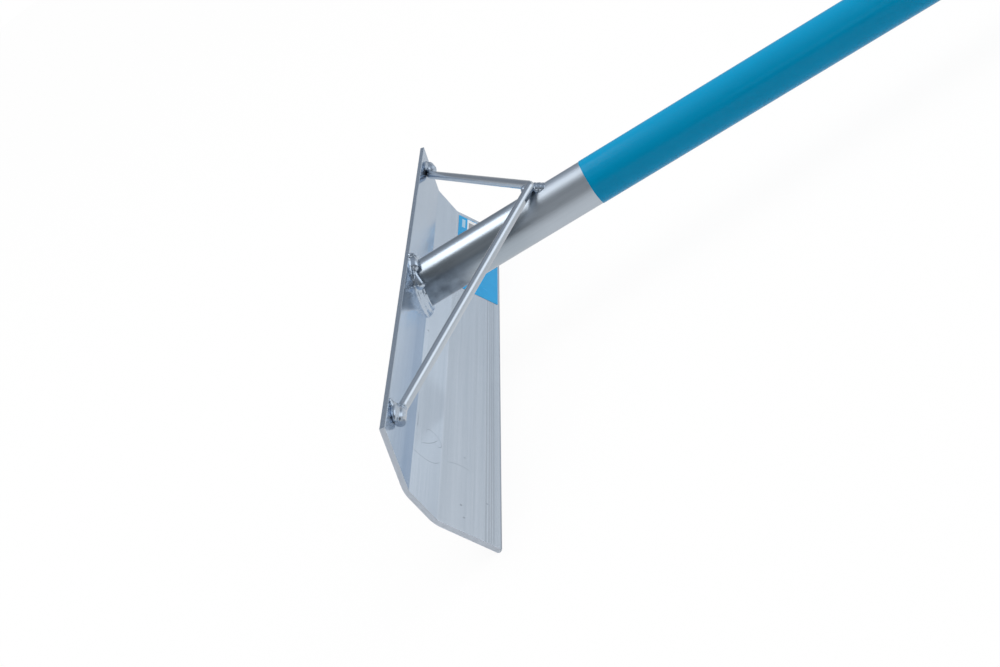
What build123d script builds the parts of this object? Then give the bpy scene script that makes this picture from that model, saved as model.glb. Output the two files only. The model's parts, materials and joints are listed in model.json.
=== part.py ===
from build123d import *
from math import asin, atan2, cos, degrees, radians, sin
import os

os.makedirs("parts", exist_ok=True)

# Blade: a plate in three flats, whose widths are measured on the hollow side
BLADE_LENGTH = 500.0
BLADE_THICKNESS = 3.0
UPPER_FLAT = 37.0
MIDDLE_FLAT = 22.0
LOWER_FLAT = 37.0
FOLD_TURN = 22.5
UPPER_FLAT_LEAN = 15.0
OUTER_FOLD_RADIUS = 18.0
LIP_RADIUS = 1.5
LIP_EDGE_RADIUS = 0.5
TOP_EDGE_RADIUS = 0.4

# Handle: tube, plastic skin and end plug
TUBE_DIAMETER = 30.0
TUBE_WALL = 1.5
HANDLE_LENGTH = 1500.0
SLEEVE_START = 132.5
SLEEVE_THICKNESS = 0.3
PLUG_HEAD = 3.0
PLUG_HEAD_CHAMFER = 0.8
PLUG_STEM = 22.0
PLUG_STEM_WALL = 1.6
PLUG_RIB_COUNT = 8
PLUG_RIB_WIDTH = 1.6
PLUG_RIB_HEIGHT = 0.8
PLUG_CLEARANCE = 0.05

# Brace: one rod bent into a V, with its two feet along the upper flat
ROD_DIAMETER = 6.0
BRACE_REACH = 99.9
BRACE_ROOT_GAP = 0.5
BRACE_BEND_RADIUS = 9.0
KNEE_RADIUS = 14.0
KNEE_OFFSET = 208.0
FOOT_END_OFFSET = 225.0
FOOT_BELOW_TOP_EDGE = 11.0
FOOT_SEAT_GAP = 0.05
CROP_LEAN = 20.0
CROP_RISE = 0.9

# Welds: rippled beads, with a thicker stop where each run round the tube ends
TUBE_BEAD_RADIUS = 4.2
TUBE_BEAD_SHIFT = 1.0
TUBE_STOP_RADIUS = 5.5
TUBE_STOP_ANGLE = 62.0
FOOT_BEAD_RADIUS = 4.5
FOOT_BEAD_OFFSET = 4.0
FOOT_BEAD_HEIGHT = 2.2
FOOT_BEAD_SHIFT = 3.0
FOOT_BEAD_RIPPLES = 4
INNER_BEND_BEAD_RADIUS = 5.2
OUTER_BEND_BEAD_RADIUS = 3.9
BEND_BEAD_LENGTH = 13.0
BEND_BEAD_RIPPLES = 2
RIPPLE_DEPTH = 0.4
BEAD_END_SHARE = 0.6
RING_FLATS = 10
WELD_BACKING = 15.0

# Sticker on the lower flat, towards the right end of the blade
LABEL_LENGTH = 154.0
LABEL_WIDTH = 33.6
LABEL_THICKNESS = 0.15
LABEL_CORNER = 1.0
LABEL_END_GAP = 7.0

# The tool is drawn with X along the handle, Y along the blade and Z across both
TUBE_RADIUS = TUBE_DIAMETER / 2
ROD_RADIUS = ROD_DIAMETER / 2
GRIP_RADIUS = TUBE_RADIUS + SLEEVE_THICKNESS
UPPER_ANGLE = -90 - UPPER_FLAT_LEAN
MIDDLE_ANGLE = UPPER_ANGLE + FOLD_TURN
LOWER_ANGLE = MIDDLE_ANGLE + FOLD_TURN


def step(angle, distance):
    """A step of this length in the blade's section, at this angle from the handle."""
    return Vector(distance * cos(radians(angle)), distance * sin(radians(angle)))


# The upper fold lies level with the underside of the tube
upper_fold = Vector(0, -TUBE_RADIUS)
top_edge = upper_fold - step(UPPER_ANGLE, UPPER_FLAT)
lower_fold = upper_fold + step(MIDDLE_ANGLE, MIDDLE_FLAT)
lip = lower_fold + step(LOWER_ANGLE, LOWER_FLAT)
hollow_side = Polyline(top_edge, upper_fold, lower_fold, lip)


def plate_section(thickness):
    """The blade's section: its hollow side, thickened to the outside."""
    outline = offset(
        hollow_side, amount=thickness, side=Side.RIGHT, kind=Kind.INTERSECTION, closed=True
    )
    return make_face(outline)


def nearest_corner(section, point):
    """The corner of a section that lies nearest to a point."""
    return section.vertices().sort_by_distance(point)[0]


def make_blade():
    """Plate with sharp folds inside, rounded folds outside and a rounded lip."""
    section = plate_section(BLADE_THICKNESS)
    for fold in (upper_fold, lower_fold):
        corner = nearest_corner(section, fold + step(MIDDLE_ANGLE - 90, BLADE_THICKNESS))
        section = fillet(corner, OUTER_FOLD_RADIUS)
    lip_corner = nearest_corner(section, lip + step(LOWER_ANGLE - 90, BLADE_THICKNESS))
    section = fillet(lip_corner, LIP_RADIUS)
    section = fillet(nearest_corner(section, lip), LIP_EDGE_RADIUS)
    for corner in (top_edge, top_edge + step(UPPER_ANGLE - 90, BLADE_THICKNESS)):
        section = fillet(nearest_corner(section, corner), TOP_EDGE_RADIUS)
    return extrude(Plane.XZ * section, amount=BLADE_LENGTH / 2, both=True)


def on_upper_flat(below_top_edge, height):
    """A point of the section, this far down the upper flat and this high above it."""
    return top_edge + step(UPPER_ANGLE, below_top_edge) + step(UPPER_ANGLE + 90, height)


def in_space(section_point, across):
    """A point of the section, carried this far along the blade."""
    return Vector(section_point.X, across, section_point.Y)


def flat_plane(section_point, across, angle):
    """A plane on one flat of the blade, facing out of the hollow."""
    normal = step(angle + 90, 1)
    return Plane(in_space(section_point, across), x_dir=(0, 1, 0), z_dir=(normal.X, 0, normal.Y))


def ring(start, end, outer, inner):
    """A round pipe on the handle's axis."""
    wall = Circle(outer) - Circle(inner)
    return extrude(Plane.YZ.offset(start) * wall, amount=end - start)


tube_end = HANDLE_LENGTH - PLUG_HEAD
seat_plane = flat_plane(upper_fold, 0, UPPER_ANGLE)


def make_tube():
    """Handle tube, with its blade end cut to lie flat on the upper flat."""
    blank = ring(-TUBE_DIAMETER, tube_end, TUBE_RADIUS, TUBE_RADIUS - TUBE_WALL)
    return split(blank, bisect_by=seat_plane, keep=Keep.TOP)


def make_plug():
    """End plug: a chamfered head on a hollow stem, with crush ribs along the stem."""
    bore = TUBE_RADIUS - TUBE_WALL - PLUG_CLEARANCE
    stem_radius = bore - PLUG_RIB_HEIGHT
    head = extrude(Plane.YZ.offset(tube_end) * Circle(TUBE_RADIUS), amount=PLUG_HEAD)
    head = chamfer(head.edges().sort_by(Axis.X)[-1], PLUG_HEAD_CHAMFER)
    stem = Circle(stem_radius)
    stem += PolarLocations(stem_radius, PLUG_RIB_COUNT) * Rectangle(2 * PLUG_RIB_HEIGHT, PLUG_RIB_WIDTH)
    stem -= Circle(stem_radius - PLUG_STEM_WALL)
    return head + extrude(Plane.YZ.offset(tube_end) * stem, amount=-PLUG_STEM)


def make_brace():
    """One rod, bent at the handle and again at each foot, its ends cropped to a ridge."""
    seat = on_upper_flat(FOOT_BELOW_TOP_EDGE, ROD_RADIUS + FOOT_SEAT_GAP)
    bend = Vector(BRACE_REACH, TUBE_RADIUS + BRACE_ROOT_GAP + ROD_RADIUS)
    path = FilletPolyline(
        in_space(seat, -FOOT_END_OFFSET),
        in_space(seat, -KNEE_OFFSET),
        in_space(bend, 0),
        in_space(seat, KNEE_OFFSET),
        in_space(seat, FOOT_END_OFFSET),
        radius=(KNEE_RADIUS, BRACE_BEND_RADIUS, KNEE_RADIUS),
    )
    start = Plane(path @ 0, z_dir=path % 0)
    rod = sweep(start * Circle(ROD_RADIUS), path=path)
    ridge = seat - step(UPPER_ANGLE, CROP_RISE)
    for side in (-1, 1):
        for lean in (-CROP_LEAN, CROP_LEAN):
            outwards = in_space(step(UPPER_ANGLE, sin(radians(lean))), side * cos(radians(lean)))
            jaw = Plane(in_space(ridge, side * FOOT_END_OFFSET), z_dir=outwards)
            rod = split(rod, bisect_by=jaw, keep=Keep.BOTTOM)
    return rod


def cut_back(bead, *neighbours):
    """A weld bead, cut back to the pieces that it joins."""
    for neighbour in neighbours:
        bead -= neighbour
    return bead.solids().sort_by(SortBy.VOLUME)[-1]


def make_tube_weld():
    """The left-hand run: half a ring on the tube's seat, with its stop near the top."""
    slant_radius = TUBE_RADIUS / cos(radians(UPPER_FLAT_LEAN))
    seat = flat_plane(upper_fold - step(UPPER_ANGLE, slant_radius), 0, UPPER_ANGLE)
    upright = Plane(seat.origin, x_dir=seat.y_dir, z_dir=seat.x_dir)
    middle = (TUBE_RADIUS + slant_radius) / 2 + TUBE_BEAD_SHIFT
    bead_section = Pos(middle, 0) * RegularPolygon(TUBE_BEAD_RADIUS, RING_FLATS)
    bead = revolve(upright * bead_section, axis=Axis(seat.origin, seat.z_dir), revolution_arc=180)
    turn = radians(TUBE_STOP_ANGLE)
    stop_section = split(RegularPolygon(TUBE_STOP_RADIUS, RING_FLATS), bisect_by=Plane.YZ)
    stop = revolve(upright * stop_section, axis=Axis(seat.origin, seat.z_dir))
    to_stop = in_space(step(UPPER_ANGLE + 180, middle * sin(turn)), -middle * cos(turn))
    return cut_back(bead + Pos(to_stop) * stop, tube_side, blade_side)


def rippled_bead(section_point, start, end, radius, ripples):
    """A straight bead along the blade, turned from a zigzag line, with a crest for each ripple."""
    half_pitch = (end - start) / ripples / 2
    ends = radius * BEAD_END_SHARE
    heights = [ends] + [radius, radius - RIPPLE_DEPTH] * ripples
    heights[-1] = ends
    crest_line = [(start + half_pitch * index, height) for index, height in enumerate(heights)]
    outline = Polyline((start, 0), *crest_line, (end, 0), close=True)
    beside = Plane(in_space(section_point, 0), x_dir=(0, 1, 0), z_dir=(1, 0, 0))
    return revolve(beside * make_face(outline), axis=Axis(beside.origin, (0, 1, 0)))


def make_foot_weld():
    """The left-hand bead, along the upper side of the brace's foot."""
    seat = on_upper_flat(FOOT_BELOW_TOP_EDGE - FOOT_BEAD_OFFSET, FOOT_BEAD_HEIGHT)
    start = -FOOT_END_OFFSET - FOOT_BEAD_SHIFT
    end = -KNEE_OFFSET - FOOT_BEAD_SHIFT
    bead = rippled_bead(seat, start, end, FOOT_BEAD_RADIUS, FOOT_BEAD_RIPPLES)
    return cut_back(bead, blade_side, brace)


def make_bend_weld(direction, radius):
    """The bead on one side of the brace's bend, where it crosses the top of the tube."""
    beside_rod = Vector(BRACE_REACH + direction * ROD_RADIUS, TUBE_RADIUS)
    reach_across = BEND_BEAD_LENGTH / 2
    bead = rippled_bead(beside_rod, -reach_across, reach_across, radius, BEND_BEAD_RIPPLES)
    under_rod = Plane(origin=(BRACE_REACH, 0, 0), z_dir=(direction, 0, 0))
    return cut_back(split(bead, bisect_by=under_rod, keep=Keep.TOP), tube_side, brace)


def make_label():
    """Thin sticker, laid on the lower flat from the fold towards the lip."""
    middle = lower_fold + step(LOWER_ANGLE, LOWER_FLAT / 2)
    across = BLADE_LENGTH / 2 - LABEL_END_GAP - LABEL_LENGTH / 2
    outline = RectangleRounded(LABEL_LENGTH, LABEL_WIDTH, LABEL_CORNER)
    return extrude(flat_plane(middle, across, LOWER_ANGLE) * outline, amount=LABEL_THICKNESS)


blade = make_blade()
brace = make_brace()
# Filled shapes that cut the welds, so that no bead shows inside the tube or behind the blade
blade_side = extrude(Plane.XZ * plate_section(WELD_BACKING), amount=BLADE_LENGTH / 2, both=True)
tube_side = extrude(Plane.YZ.offset(-TUBE_DIAMETER) * Circle(TUBE_RADIUS), amount=HANDLE_LENGTH)
tube_weld = make_tube_weld()
foot_weld = make_foot_weld()

pieces = {
    "blade": blade,
    "handle_tube": make_tube(),
    "handle_sleeve": ring(SLEEVE_START, tube_end, GRIP_RADIUS, TUBE_RADIUS),
    "handle_end_plug": make_plug(),
    "brace_rod": brace,
    "handle_weld_left": tube_weld,
    "handle_weld_right": mirror(tube_weld, about=Plane.XZ),
    "brace_weld_blade_side": make_bend_weld(-1, INNER_BEND_BEAD_RADIUS),
    "brace_weld_handle_side": make_bend_weld(1, OUTER_BEND_BEAD_RADIUS),
    "foot_weld_left": foot_weld,
    "foot_weld_right": mirror(foot_weld, about=Plane.XZ),
    "blade_label": make_label(),
}

# Laid down, the rake touches the floor with its lip and with the end of its sleeve
lip_centre = lip - step(LOWER_ANGLE, LIP_RADIUS) + step(LOWER_ANGLE - 90, BLADE_THICKNESS - LIP_RADIUS)
to_grip_end = Vector(tube_end, -GRIP_RADIUS) - lip_centre
slope = atan2(to_grip_end.Y, to_grip_end.X) + asin(LIP_RADIUS / to_grip_end.length)
laid_down = Rot(Y=degrees(slope))
box = Compound(children=[laid_down * piece for piece in pieces.values()]).bounding_box()
rest = Pos(-box.center().X, 0, -box.min.Z) * laid_down

for name, piece in pieces.items():
    export_step(rest * piece, f"parts/{name}.step")

print("blade end of the handle axis", rest.position, "slope", degrees(slope), "box", box.size)
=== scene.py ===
# %% [markdown]
# # A concrete rake
# A concrete rake draws wet concrete along: a wide folded blade on the end of a long tube, with a bent rod
# that keeps the blade from twisting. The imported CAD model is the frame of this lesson. Its nodes have the
# right sizes and places, and are never moved or reshaped. Each piece made below is a finer one that stands
# for one node.

# %% Load the frame
import json
import math
import random

import bmesh
import bpy
from mathutils import Matrix, Vector

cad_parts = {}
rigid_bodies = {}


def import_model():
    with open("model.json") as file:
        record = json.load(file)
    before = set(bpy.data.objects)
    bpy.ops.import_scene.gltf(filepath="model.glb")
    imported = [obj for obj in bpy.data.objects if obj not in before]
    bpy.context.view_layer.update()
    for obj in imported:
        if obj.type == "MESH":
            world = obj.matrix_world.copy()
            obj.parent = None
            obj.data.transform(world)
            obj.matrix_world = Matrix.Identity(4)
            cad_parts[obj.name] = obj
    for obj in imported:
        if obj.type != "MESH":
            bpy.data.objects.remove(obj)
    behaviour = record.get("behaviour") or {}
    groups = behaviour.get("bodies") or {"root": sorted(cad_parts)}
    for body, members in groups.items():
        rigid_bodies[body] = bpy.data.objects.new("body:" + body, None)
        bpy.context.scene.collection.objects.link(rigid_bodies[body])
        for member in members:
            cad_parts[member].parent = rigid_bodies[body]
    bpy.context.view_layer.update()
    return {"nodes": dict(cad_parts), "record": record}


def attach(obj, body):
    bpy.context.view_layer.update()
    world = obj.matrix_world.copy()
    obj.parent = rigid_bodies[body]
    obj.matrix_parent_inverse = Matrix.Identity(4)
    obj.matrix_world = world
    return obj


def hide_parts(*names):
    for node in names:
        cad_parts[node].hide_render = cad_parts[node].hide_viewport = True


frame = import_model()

print("CAD nodes:", sorted(frame["nodes"]))

# %% [markdown]
# ## The bench
# The finished rake lies on the floor on its lip and the end of its handle, so the handle slopes a little.
# Modelling on a slope is awkward. Every piece is therefore made on a level bench, where X runs up the
# handle from the blade, Y runs along the blade and Z points up, and one matrix lays it down at the end. The
# grip mount in the record says where the handle's line really is.

# %% Find the handle's line
MM = 0.001
SLEEVE_START = 132.5 * MM
grip = next(mount for mount in frame["record"]["mounts"] if mount["name"] == "handle_grip")
GRIP_RADIUS = grip["dims"]["r_mm"] * MM
GRIP_LENGTH = grip["dims"]["length_mm"] * MM
up_the_handle = Vector(grip["axis"]).normalized()
along_the_blade = Vector((0, 1, 0))
off_the_bench = up_the_handle.cross(along_the_blade)
blade_end = Vector(grip["pos_m"]) - up_the_handle * (SLEEVE_START + GRIP_LENGTH / 2)
turned = Matrix((up_the_handle, along_the_blade, off_the_bench)).transposed()
LAID_DOWN = Matrix.Translation(blade_end) @ turned.to_4x4()
SLOPE = turned.to_euler().y
print(f"the handle slopes by {math.degrees(SLOPE):.2f} degrees, its blade end is at {blade_end}")

# %% [markdown]
# Operators act on whatever is selected, so a few helpers keep the selection clean. `select_only` leaves
# just the named objects selected, `pick` selects parts of the mesh in edit mode by a test on their place or
# normal, and `lay_down` finishes a piece: it goes from the bench to its place in the frame, and rides on
# the rake's one body. Smooth shading alone would bend the normals of a flat towards the bevel beside it,
# and a mirror shows that at once. Weighted normals leave the turn to the small faces, so a flat stays flat.
# A face counts as facing along an axis where more than `FACING` of its normal runs that way.

# %% Helpers for selecting and finishing
FACING = 0.9


def select_only(*objects):
    """Object mode, with just these objects selected and the first of them active."""
    if bpy.context.object and bpy.context.object.mode != "OBJECT":
        bpy.ops.object.mode_set(mode="OBJECT")
    bpy.ops.object.select_all(action="DESELECT")
    for chosen in objects:
        chosen.select_set(True)
    bpy.context.view_layer.objects.active = objects[0] if objects else None


def new_piece(name, size=(1, 1, 1)):
    """Names the primitive that was just added, scales it to its size and puts both into its mesh."""
    piece = bpy.context.object
    piece.name = piece.data.name = name
    piece.scale = size
    select_only(piece)
    bpy.ops.object.transform_apply(location=True, rotation=True, scale=True)
    return piece


def edit(piece):
    """Edit mode on one piece."""
    select_only(piece)
    bpy.ops.object.mode_set(mode="EDIT")


def middle(element):
    """The middle of a vertex, an edge or a face."""
    corners = [element] if isinstance(element, bmesh.types.BMVert) else element.verts
    return sum((corner.co for corner in corners), Vector()) / len(corners)


def pick(kind, test):
    """In edit mode, selects the vertices, edges or faces that pass a test, and nothing else."""
    bpy.ops.mesh.select_mode(type=kind)
    bpy.ops.mesh.select_all(action="DESELECT")
    data = bpy.context.object.data
    mesh = bmesh.from_edit_mesh(data)
    chosen = [e for e in {"VERT": mesh.verts, "EDGE": mesh.edges, "FACE": mesh.faces}[kind] if test(e)]
    for element in chosen:
        element.select_set(True)
    bmesh.update_edit_mesh(data)
    return len(chosen)


def extrude(move):
    """In edit mode, extrudes the selection by this vector."""
    bpy.ops.mesh.extrude_region_move(TRANSFORM_OT_translate={"value": move})


def own_slot(piece, test):
    """In edit mode, gives the faces that pass a test a material slot of their own."""
    if not piece.data.materials:
        piece.data.materials.append(None)
    piece.data.materials.append(None)
    found = pick("FACE", test)
    piece.active_material_index = len(piece.data.materials) - 1
    bpy.ops.object.material_slot_assign()
    return found


def modify(piece, kind, **settings):
    """Adds a modifier to a piece and applies it."""
    select_only(piece)
    modifier = piece.modifiers.new(kind.lower(), kind)
    for setting, value in settings.items():
        setattr(modifier, setting, value)
    bpy.ops.object.modifier_apply(modifier=modifier.name)


def lay_down(piece, node, smooth_angle=30, weighted=True):
    """Moves a finished piece from the bench to its CAD node's place, which it then stands for."""
    select_only(piece)
    bpy.ops.object.shade_smooth_by_angle(angle=math.radians(smooth_angle))
    piece.matrix_world = LAID_DOWN
    bpy.ops.object.transform_apply(location=True, rotation=True, scale=True)
    if weighted:
        modify(piece, "WEIGHTED_NORMAL", weight=100, keep_sharp=True)
    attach(piece, "root")
    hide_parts(node)
    print(f"{piece.name}: {len(piece.data.polygons)} faces, stands for {node}")


# %% [markdown]
# ## The blade
# The real blade is an aluminium extrusion 3 mm thick in three flats. Its folds are sharp in the hollow and
# round outside. It could be drawn as one closed section and extruded along the blade. Folding a sheet is
# closer to how one thinks about it: a plane is the upper flat, its lower edge is extruded twice, and
# Solidify gives the sheet its thickness on the outer side with true mitres. Bevels then round the outer
# folds, the lip and the top edge.

# %% Fold the sheet
BLADE_LENGTH = 500 * MM
BLADE_THICKNESS = 3 * MM
UPPER_FLAT, MIDDLE_FLAT, LOWER_FLAT = 37 * MM, 22 * MM, 37 * MM
FOLD_TURN = math.radians(22.5)
UPPER_ANGLE = math.radians(-105)
MIDDLE_ANGLE = UPPER_ANGLE + FOLD_TURN
LOWER_ANGLE = MIDDLE_ANGLE + FOLD_TURN
RIGHT_ANGLE = math.pi / 2
TUBE_RADIUS = 15 * MM


def step(angle, distance):
    """A step of this length across the blade's section, at this angle from the handle."""
    return Vector((distance * math.cos(angle), 0, distance * math.sin(angle)))


upper_fold = Vector((0, 0, -TUBE_RADIUS))
top_edge = upper_fold - step(UPPER_ANGLE, UPPER_FLAT)
lower_fold = upper_fold + step(MIDDLE_ANGLE, MIDDLE_FLAT)
lip = lower_fold + step(LOWER_ANGLE, LOWER_FLAT)

select_only()
bpy.ops.mesh.primitive_plane_add(
    size=1,
    location=(top_edge + upper_fold) / 2,
    rotation=(0, -UPPER_ANGLE, 0),
)
blade = new_piece("folded_blade", size=(UPPER_FLAT, BLADE_LENGTH, 1))
edit(blade)
pick("EDGE", lambda edge: (middle(edge) - upper_fold).length < MM)
extrude(step(MIDDLE_ANGLE, MIDDLE_FLAT))
extrude(step(LOWER_ANGLE, LOWER_FLAT))
modify(blade, "SOLIDIFY", thickness=BLADE_THICKNESS, offset=-1, use_even_offset=True)
edit(blade)
pick("FACE", lambda face: abs(face.normal.y) > FACING)
bpy.ops.mesh.dissolve_faces()
select_only(blade)
print("the sheet has", len(blade.data.vertices), "corners and", len(blade.data.polygons), "faces")

# %% [markdown]
# An edge along the blade is found by where it crosses the section. The round of a fold through an angle t
# with radius r starts r tan(t / 2) from the corner, so the bevel's offset comes from the radius that one
# wants.

# %% Round the folds, the lip and the top edge
OUTER_FOLD_RADIUS = 18 * MM
INNER_FOLD_RADIUS = 1 * MM
LIP_RADIUS = 1.5 * MM
LIP_EDGE_RADIUS = 0.5 * MM
TOP_EDGE_RADIUS = 0.4 * MM
SAW_BREAK = 0.15 * MM
HAIR = 0.05 * MM


def runs_through(edge, corner):
    """Whether an edge runs along the blade through this corner of the section."""
    return all((Vector((end.co.x, 0, end.co.z)) - corner).length < HAIR for end in edge.verts)


def round_off(corner, radius, turn, segments):
    """Rounds the edge along the blade that runs through a corner of the section."""
    found = pick("EDGE", lambda edge: runs_through(edge, corner))
    bpy.ops.mesh.bevel(offset=radius * math.tan(turn / 2), segments=segments, affect="EDGES")
    return found


mitre = BLADE_THICKNESS / math.cos(FOLD_TURN / 2)
outer_lip = lip + step(LOWER_ANGLE - RIGHT_ANGLE, BLADE_THICKNESS)
outer_top_edge = top_edge + step(UPPER_ANGLE - RIGHT_ANGLE, BLADE_THICKNESS)
rounded = 0
edit(blade)
for fold, before, after in ((upper_fold, UPPER_ANGLE, MIDDLE_ANGLE), (lower_fold, MIDDLE_ANGLE, LOWER_ANGLE)):
    outer_fold = fold + step((before + after) / 2 - RIGHT_ANGLE, mitre)
    rounded += round_off(outer_fold, OUTER_FOLD_RADIUS, FOLD_TURN, segments=8)
for fold in (upper_fold, lower_fold):
    rounded += round_off(fold, INNER_FOLD_RADIUS, FOLD_TURN, segments=3)
rounded += round_off(outer_lip, LIP_RADIUS, RIGHT_ANGLE, segments=6)
rounded += round_off(lip, LIP_EDGE_RADIUS, RIGHT_ANGLE, segments=4)
for corner in (top_edge, outer_top_edge):
    rounded += round_off(corner, TOP_EDGE_RADIUS, RIGHT_ANGLE, segments=3)
pick("EDGE", lambda edge: all(abs(end.co.y) > BLADE_LENGTH / 2 - HAIR for end in edge.verts))
bpy.ops.mesh.bevel(offset=SAW_BREAK, segments=2, affect="EDGES")
print(rounded, "edges along the blade rounded, and the saw cuts broken")

# %% [markdown]
# The extruder's die leaves lines along the whole blade, and the strongest run near the lip. They are cut as
# real grooves: three bisections mark out each groove on the lower flat, and the middle line is pushed in.

# %% Cut the die lines
DIE_LINES = ((4.9 * MM, 0.020 * MM), (6.3 * MM, 0.015 * MM), (7.7 * MM, 0.015 * MM), (9.5 * MM, 0.010 * MM))
DIE_LINE_HALF_WIDTH = 0.3 * MM
ON_THE_FLAT = 0.999
along_lower_flat = step(LOWER_ANGLE, 1)
out_of_lower_flat = step(LOWER_ANGLE + RIGHT_ANGLE, 1)


def on_lower_flat(face):
    """Whether a face is part of the lower flat, on the hollow side."""
    return face.normal.dot(out_of_lower_flat) > ON_THE_FLAT


for from_lip, depth in DIE_LINES:
    line = lip - along_lower_flat * from_lip
    for side in (-DIE_LINE_HALF_WIDTH, 0, DIE_LINE_HALF_WIDTH):
        pick("FACE", on_lower_flat)
        bpy.ops.mesh.bisect(plane_co=line + along_lower_flat * side, plane_no=along_lower_flat)
    pick("VERT", lambda vertex: (Vector((vertex.co.x, 0, vertex.co.z)) - line).length < HAIR)
    bpy.ops.transform.translate(value=out_of_lower_flat * -depth)
print(own_slot(blade, lambda face: abs(face.normal.y) > FACING), "sawn faces")
lay_down(blade, "blade")

# %% [markdown]
# ## The handle tube
# A plain drawn tube, cut at a slant so that its end lies flat on the upper flat. The cut could be a
# Boolean, but one bisection is cleaner: an open cylinder that starts behind the blade is cut by the plane
# of the flat, and Solidify then gives it a wall on the inner side.

# %% Cut the tube to its seat
TUBE_WALL = 1.5 * MM
TUBE_END = SLEEVE_START + GRIP_LENGTH
TUBE_SIDES = 128
out_of_upper_flat = step(UPPER_ANGLE + RIGHT_ANGLE, 1)


def add_pipe(name, start, end, radius):
    """An open cylinder on the handle's line."""
    select_only()
    bpy.ops.mesh.primitive_cylinder_add(
        vertices=TUBE_SIDES,
        radius=radius,
        depth=end - start,
        end_fill_type="NOTHING",
        location=((start + end) / 2, 0, 0),
        rotation=(0, RIGHT_ANGLE, 0),
    )
    return new_piece(name)


tube = add_pipe("tube", -2 * TUBE_RADIUS, TUBE_END, TUBE_RADIUS)
edit(tube)
pick("FACE", lambda face: True)
bpy.ops.mesh.bisect(plane_co=upper_fold, plane_no=out_of_upper_flat, clear_inner=True)
modify(tube, "SOLIDIFY", thickness=TUBE_WALL, offset=-1)
lay_down(tube, "handle_tube")

# %% [markdown]
# ## The sleeve
# The blue skin is shrunk on the tube, and its edge was cut by hand, so it wanders by a few tenths of a
# millimetre. A narrow ring of faces is cut off at the edge, and a Displace modifier with a cloud texture
# shifts only the edge's vertices along the handle. Solidify and a small bevel give the skin its thickness
# and a soft rim.

# %% Shrink the sleeve on
SLEEVE_THICKNESS = 0.3 * MM
EDGE_RING = 3 * MM
EDGE_WANDER = 1.6 * MM
EDGE_WAVE = 14 * MM
RIM_ROUND = 0.12 * MM
RIM_TURN = 1

sleeve = add_pipe("sleeve", SLEEVE_START, TUBE_END, GRIP_RADIUS)
edit(sleeve)
pick("FACE", lambda face: True)
bpy.ops.mesh.bisect(plane_co=(SLEEVE_START + EDGE_RING, 0, 0), plane_no=(1, 0, 0))
select_only(sleeve)
cut_edge = sleeve.vertex_groups.new(name="cut_edge")
cut_edge.add([v.index for v in sleeve.data.vertices if v.co.x < SLEEVE_START + HAIR], 1, "REPLACE")
wander = bpy.data.textures.new("hand_cut", "CLOUDS")
wander.noise_scale = EDGE_WAVE
modify(sleeve, "DISPLACE", texture=wander, direction="X", strength=EDGE_WANDER, vertex_group="cut_edge")
modify(sleeve, "SOLIDIFY", thickness=SLEEVE_THICKNESS, offset=-1)
edit(sleeve)
pick("EDGE", lambda edge: edge.calc_face_angle(0) > RIM_TURN and middle(edge).yz.length > GRIP_RADIUS - HAIR)
bpy.ops.mesh.bevel(offset=RIM_ROUND, segments=3, affect="EDGES")
lay_down(sleeve, "handle_sleeve")

# %% [markdown]
# ## The end plug
# A moulded plug closes the far end of the tube. A short cylinder is the head. Its inner face is inset and
# extruded for the stem, and inset again and pushed back so that the stem is hollow. The outer face gets a
# rounded rim and a shallow dish.

# %% Mould the plug
PLUG_HEAD = 3 * MM
PLUG_RIM = 0.8 * MM
PLUG_STEM = 22 * MM
PLUG_STEM_GAP = 0.85 * MM
PLUG_STEM_WALL = 1.6 * MM
PLUG_DISH_RIM = 4 * MM
PLUG_DISH_DEPTH = 0.6 * MM
PLUG_SIDES = 64
outer_face = TUBE_END + PLUG_HEAD - HAIR


def at_rim(vertex):
    """Whether a vertex is on the rim of the plug's outer face."""
    return vertex.co.x > outer_face and vertex.co.yz.length > TUBE_RADIUS - HAIR


select_only()
bpy.ops.mesh.primitive_cylinder_add(
    vertices=PLUG_SIDES,
    radius=TUBE_RADIUS,
    depth=PLUG_HEAD,
    location=(TUBE_END + PLUG_HEAD / 2, 0, 0),
    rotation=(0, RIGHT_ANGLE, 0),
)
plug = new_piece("end_plug")
edit(plug)
pick("FACE", lambda face: face.normal.x < -FACING)
bpy.ops.mesh.inset(thickness=TUBE_WALL + PLUG_STEM_GAP)
extrude((-PLUG_STEM, 0, 0))
bpy.ops.mesh.inset(thickness=PLUG_STEM_WALL)
extrude((PLUG_STEM, 0, 0))
pick("FACE", lambda face: face.normal.x > FACING and middle(face).x > outer_face)
bpy.ops.mesh.inset(thickness=PLUG_DISH_RIM)
bpy.ops.mesh.inset(thickness=PLUG_DISH_DEPTH * 2, depth=-PLUG_DISH_DEPTH)
pick("EDGE", lambda edge: all(at_rim(end) for end in edge.verts))
bpy.ops.mesh.bevel(offset=PLUG_RIM, segments=4, affect="EDGES")
lay_down(plug, "handle_end_plug")

# %% [markdown]
# ## The brace
# One rod, bent over the tube into a wide V, with both ends bent again so that they lie along the upper
# flat. A bevelled curve would do, but extruding and spinning a disc follows the real work on a bending
# bench: the disc is drawn out over a straight run, spun about the bend's centre, and drawn out again.

# %% Work out the bends
ROD_RADIUS = 3 * MM
BRACE_REACH = 99.9 * MM
BRACE_ROOT_GAP = 0.5 * MM
BRACE_HEIGHT = TUBE_RADIUS + BRACE_ROOT_GAP + ROD_RADIUS
BEND_RADIUS = 9 * MM
KNEE_RADIUS = 14 * MM
KNEE_OFFSET = 208 * MM
FOOT_END_OFFSET = 225 * MM
FOOT_BELOW_TOP_EDGE = 11 * MM
FOOT_GAP = 0.05 * MM

foot_line = top_edge + step(UPPER_ANGLE, FOOT_BELOW_TOP_EDGE) + out_of_upper_flat * (ROD_RADIUS + FOOT_GAP)


def across(point, distance):
    """A point of the section, carried along the blade."""
    return Vector((point.x, distance, point.z))


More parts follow.
